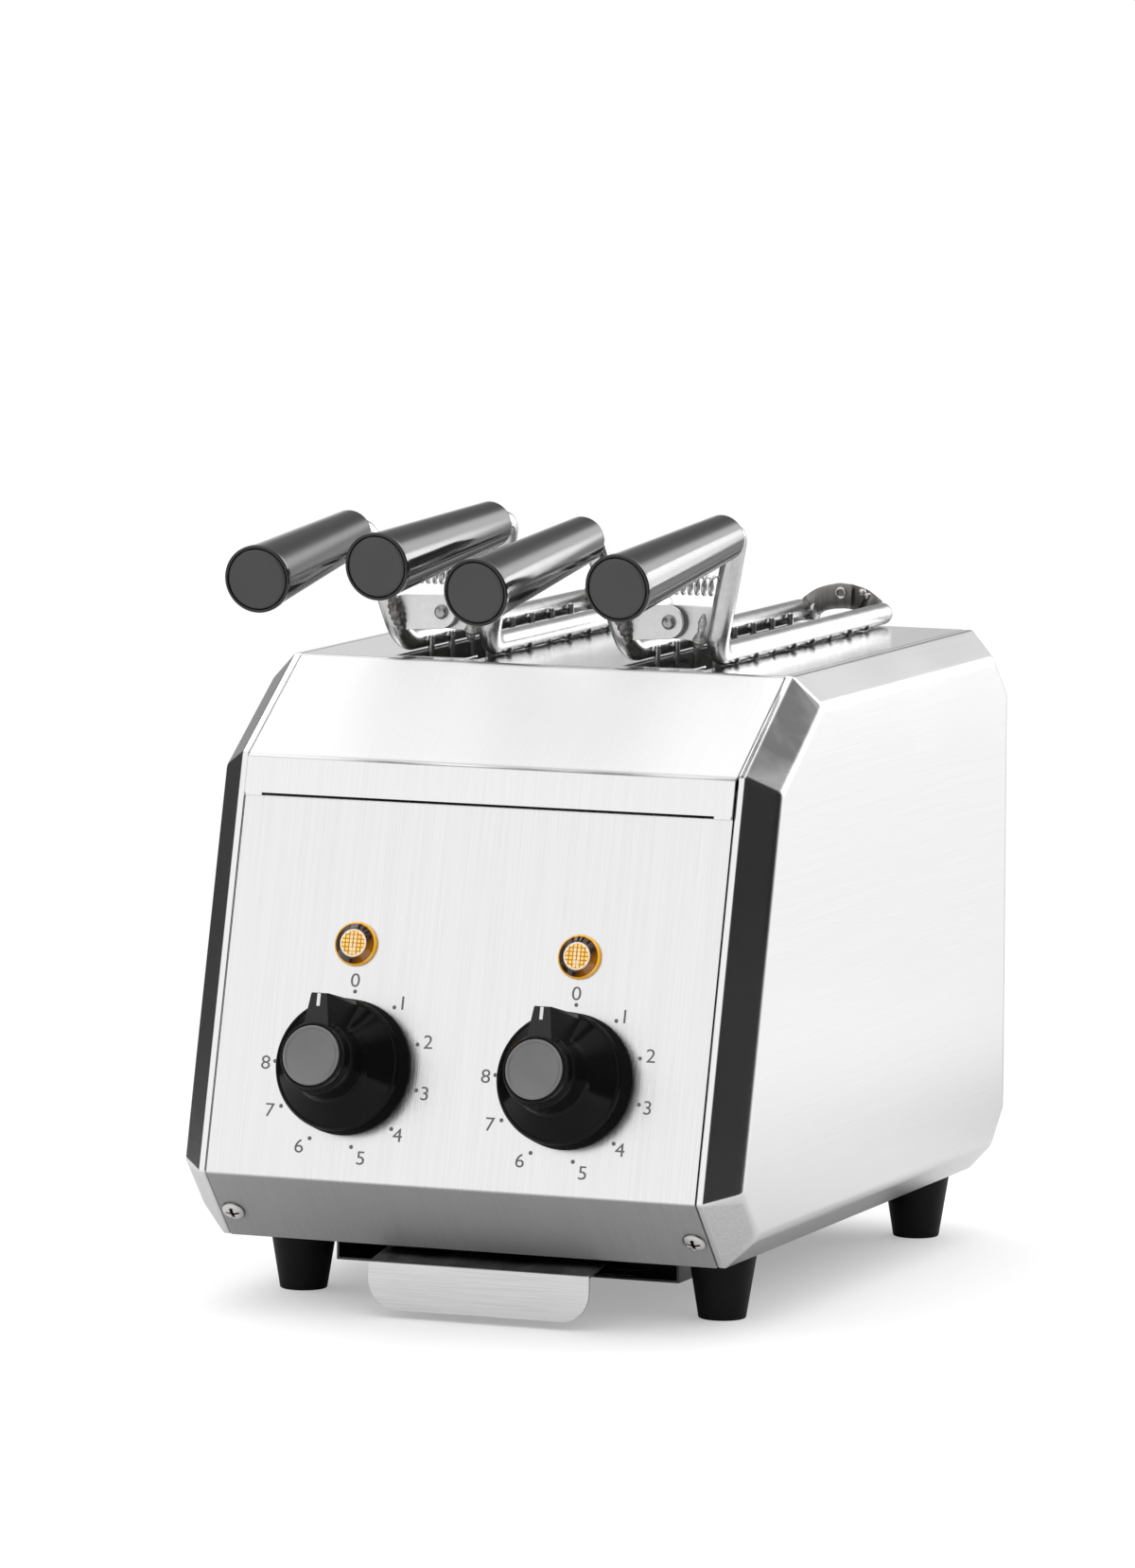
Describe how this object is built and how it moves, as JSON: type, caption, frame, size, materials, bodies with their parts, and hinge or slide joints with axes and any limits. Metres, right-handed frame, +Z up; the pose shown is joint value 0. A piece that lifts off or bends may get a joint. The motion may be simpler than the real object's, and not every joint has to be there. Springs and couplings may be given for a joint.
{
  "type": "sandwich toaster",
  "caption": "Countertop toaster with long slots in a flat top, timer dials, a slide-out crumb tray and lift-out spring tongs whose wire grids hold a sandwich.",
  "frame": {"origin": "middle of the underside of the bounding box, on the surface that the feet stand on", "axes": "+X to the right seen from the dials, +Y from the dials to the back, +Z up"},
  "size_m": [0.2056, 0.3252, 0.2761],
  "materials": {
    "side_steel": "satin brushed",
    "cover_steel": "bright brushed",
    "front_steel": "brushed across",
    "plain_steel": "mill finish",
    "foot_rubber": "matte",
    "screw_steel": "bright",
    "dial_black": "gloss",
    "dial_cap_grey": "satin",
    "inner_plastic": "matte",
    "lamp_amber": "clear amber",
    "heating_quartz": "frosted quartz",
    "wire_steel": "bright drawn wire",
    "tube_steel": "polished",
    "grip_black": "gloss",
    "grip_cap_black": "matte",
    "dark_steel": "dull",
    "spring_steel": "bright wire"
  },
  "bodies": {
    "base": {"side_panel_left": "side_steel", "side_panel_right": "side_steel", "top_cover": "cover_steel", "front_panel": "front_steel", "rear_panel": "plain_steel", "base_pan": "plain_steel", "tray_channel": "plain_steel", "heat_box": "plain_steel", "foot_front_left": "foot_rubber", "foot_front_right": "foot_rubber", "foot_rear_left": "foot_rubber", "foot_rear_right": "foot_rubber", "cable_gland": "foot_rubber", "facet_screw_left": "screw_steel", "facet_screw_right": "screw_steel", "timer_left": "inner_plastic", "timer_right": "inner_plastic", "terminal_block": "inner_plastic", "lamp_left": "lamp_amber", "lamp_right": "lamp_amber", "heating_tube_left_lower": "heating_quartz", "heating_tube_left_upper": "heating_quartz", "heating_tube_middle_lower": "heating_quartz", "heating_tube_middle_upper": "heating_quartz", "heating_tube_right_lower": "heating_quartz", "heating_tube_right_upper": "heating_quartz", "wire_guard_left_outer": "wire_steel", "wire_guard_left_inner": "wire_steel", "wire_guard_right_inner": "wire_steel", "wire_guard_right_outer": "wire_steel"},
    "left_dial": {"timer_dial_left": "dial_black", "dial_cap_left": "dial_cap_grey", "timer_shaft_left": "screw_steel"},
    "left_tongs_pivot": {"left_tongs_rivet": "dark_steel", "left_tongs_eyelet": "tube_steel", "left_tongs_spring": "spring_steel"},
    "left_tongs_half_left": {"left_tongs_tube_left": "tube_steel", "left_tongs_grid_left": "wire_steel", "left_tongs_grip_left": "grip_black", "left_tongs_grip_cap_left": "grip_cap_black"},
    "left_tongs_half_right": {"left_tongs_tube_right": "tube_steel", "left_tongs_grid_right": "wire_steel", "left_tongs_grip_right": "grip_black", "left_tongs_grip_cap_right": "grip_cap_black"},
    "right_dial": {"timer_dial_right": "dial_black", "dial_cap_right": "dial_cap_grey", "timer_shaft_right": "screw_steel"},
    "right_tongs_pivot": {"right_tongs_rivet": "dark_steel", "right_tongs_eyelet": "tube_steel", "right_tongs_spring": "spring_steel"},
    "right_tongs_half_left": {"right_tongs_tube_left": "tube_steel", "right_tongs_grid_left": "wire_steel", "right_tongs_grip_left": "grip_black", "right_tongs_grip_cap_left": "grip_cap_black"},
    "right_tongs_half_right": {"right_tongs_tube_right": "tube_steel", "right_tongs_grid_right": "wire_steel", "right_tongs_grip_right": "grip_black", "right_tongs_grip_cap_right": "grip_cap_black"},
    "crumb_tray": {"crumb_tray": "plain_steel"}
  },
  "joints": [
    {"name": "left_dial_turn", "type": "hinge", "parent": "base", "child": "left_dial", "pos_m": [-0.0415, -0.12779, 0.08565], "axis": [0, 0.968, -0.2508], "range_deg": [0, 272]},
    {"name": "right_dial_turn", "type": "hinge", "parent": "base", "child": "right_dial", "pos_m": [0.0399, -0.12779, 0.08565], "axis": [0, 0.968, -0.2508], "range_deg": [0, 272]},
    {"name": "crumb_tray_slide", "type": "slide", "parent": "base", "child": "crumb_tray", "axis": [0, -1, 0], "range_m": [0, 0.2]},
    {"name": "left_tongs_lift", "type": "slide", "parent": "base", "child": "left_tongs_pivot", "axis": [0, 0, 1], "range_m": [0, 0.13]},
    {"name": "left_tongs_open_left", "type": "hinge", "parent": "left_tongs_pivot", "child": "left_tongs_half_left", "pos_m": [-0.0424, -0.04322, 0.2349], "axis": [0, 0.9997, -0.0234], "range_deg": [0, 5.5], "stiffness_Nm_per_rad": 1.6, "springref_deg": -5.73, "deforming": ["left_tongs_spring"]},
    {"name": "left_tongs_open_right", "type": "hinge", "parent": "left_tongs_pivot", "child": "left_tongs_half_right", "pos_m": [-0.0424, -0.04322, 0.2349], "axis": [0, -0.9997, 0.0234], "range_deg": [0, 5.5], "stiffness_Nm_per_rad": 1.6, "springref_deg": -5.73},
    {"name": "right_tongs_lift", "type": "slide", "parent": "base", "child": "right_tongs_pivot", "axis": [0, 0, 1], "range_m": [0, 0.13]},
    {"name": "right_tongs_open_left", "type": "hinge", "parent": "right_tongs_pivot", "child": "right_tongs_half_left", "pos_m": [0.0424, -0.04322, 0.2349], "axis": [0, 0.9997, -0.0234], "range_deg": [0, 5.5], "stiffness_Nm_per_rad": 1.6, "springref_deg": -5.73, "deforming": ["right_tongs_spring"]},
    {"name": "right_tongs_open_right", "type": "hinge", "parent": "right_tongs_pivot", "child": "right_tongs_half_right", "pos_m": [0.0424, -0.04322, 0.2349], "axis": [0, -0.9997, 0.0234], "range_deg": [0, 5.5], "stiffness_Nm_per_rad": 1.6, "springref_deg": -5.73}
  ],
  "couplings": [
    {"joint": "left_tongs_open_right", "follows": "left_tongs_open_left", "ratio": 1},
    {"joint": "right_tongs_open_right", "follows": "right_tongs_open_left", "ratio": 1}
  ]
}
